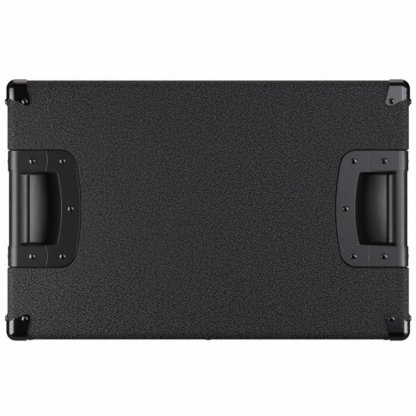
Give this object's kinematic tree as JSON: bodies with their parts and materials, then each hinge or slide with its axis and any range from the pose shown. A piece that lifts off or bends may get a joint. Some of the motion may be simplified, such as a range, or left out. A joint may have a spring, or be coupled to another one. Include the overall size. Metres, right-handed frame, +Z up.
{
  "type": "guitar speaker cabinet",
  "caption": "Closed-back guitar speaker cabinet in black grained vinyl with gloss corner protectors, recessed edge bar handles, cloth grille and a twelve-inch driver.",
  "frame": {"origin": "middle of the cabinet's plan at the underside of the feet", "axes": "+X to the cabinet's right seen from the front, +Y to the rear with the jacks, +Z up"},
  "size_m": [0.6184, 0.3974, 0.5314],
  "materials": {
    "plywood": "birch plywood, bare inside",
    "vinyl": "black grained vinyl cloth",
    "panel_vinyl": "back panel faced in the same black grained vinyl",
    "black_board": "plywood painted matt black",
    "grille_cloth": "black woven grille cloth",
    "pad_nylon": "black hook-and-loop nylon",
    "corner_metal": "steel in gloss black",
    "handle_plastic": "black plastic with a fine spark texture",
    "strap_steel": "steel in satin black",
    "bar_steel": "steel tube in satin black",
    "screw_steel": "black zinc",
    "foot_rubber": "black rubber",
    "zinc_steel": "zinc plated",
    "basket_paint": "pressed steel painted black",
    "ferrite": "sintered ferrite",
    "cone_paper": "ribbed paper pulp, dark grey",
    "surround_cloth": "doped cloth",
    "spider_cloth": "resin-dipped cloth",
    "gasket_cork": "dark pressed board",
    "coil_copper": "copper winding on a paper former",
    "cup_plastic": "black plastic",
    "jack_plastic": "black plastic jack body",
    "lead_red": "red insulated wire",
    "lead_black": "black insulated wire",
    "tinsel_copper": "braided tinsel wire"
  },
  "bodies": {
    "cabinet": {"back_battens": "plywood", "back_panel": "panel_vinyl", "back_panel_cup_washers": "screw_steel", "back_panel_screws": "screw_steel", "baffle_battens": "plywood", "baffle_board": "black_board", "bottom_panel": "plywood", "corner_bottom_front_left": "corner_metal", "corner_bottom_front_right": "corner_metal", "corner_bottom_rear_left": "corner_metal", "corner_bottom_rear_right": "corner_metal", "corner_screws": "screw_steel", "corner_top_front_left": "corner_metal", "corner_top_front_right": "corner_metal", "corner_top_rear_left": "corner_metal", "corner_top_rear_right": "corner_metal", "ferrite_magnet": "ferrite", "foot_left_front": "foot_rubber", "foot_left_rear": "foot_rubber", "foot_right_front": "foot_rubber", "foot_right_rear": "foot_rubber", "foot_screws": "screw_steel", "grille_hook_pads": "pad_nylon", "handle_screws": "screw_steel", "input_jack": "jack_plastic", "jack_cup": "cup_plastic", "jack_cup_screws": "screw_steel", "jack_nuts": "zinc_steel", "left_handle_bar": "bar_steel", "left_handle_dish": "handle_plastic", "left_handle_front_strap": "strap_steel", "left_handle_rear_strap": "strap_steel", "left_side_panel": "plywood", "link_jack": "jack_plastic", "magnet_back_plate": "zinc_steel", "magnet_front_plate": "zinc_steel", "push_on_terminals": "zinc_steel", "right_handle_bar": "bar_steel", "right_handle_dish": "handle_plastic", "right_handle_front_strap": "strap_steel", "right_handle_rear_strap": "strap_steel", "right_side_panel": "plywood", "speaker_basket": "basket_paint", "speaker_bolts": "zinc_steel", "speaker_gasket": "gasket_cork", "speaker_lead_black": "lead_black", "speaker_lead_red": "lead_red", "speaker_t_nuts": "zinc_steel", "spider": "spider_cloth", "surround": "surround_cloth", "terminal_strip": "gasket_cork", "tinsel_leads": "tinsel_copper", "top_panel": "plywood", "vinyl_covering": "vinyl"},
    "grille": {"grille_frame": "black_board", "grille_cloth": "grille_cloth", "grille_loop_pads": "pad_nylon"},
    "moving_cone": {"cone": "cone_paper", "dust_cap": "cone_paper", "voice_coil": "coil_copper"}
  },
  "joints": [
    {"name": "grille_pull", "type": "slide", "parent": "cabinet", "child": "grille", "axis": [0, -1, 0], "range_m": [0, 0.12]},
    {"name": "cone_travel", "type": "slide", "parent": "cabinet", "child": "moving_cone", "axis": [0, -1, 0], "range_m": [-0.003, 0.003], "stiffness_N_per_m": 4000, "deforming": ["surround", "spider", "tinsel_leads"]}
  ]
}
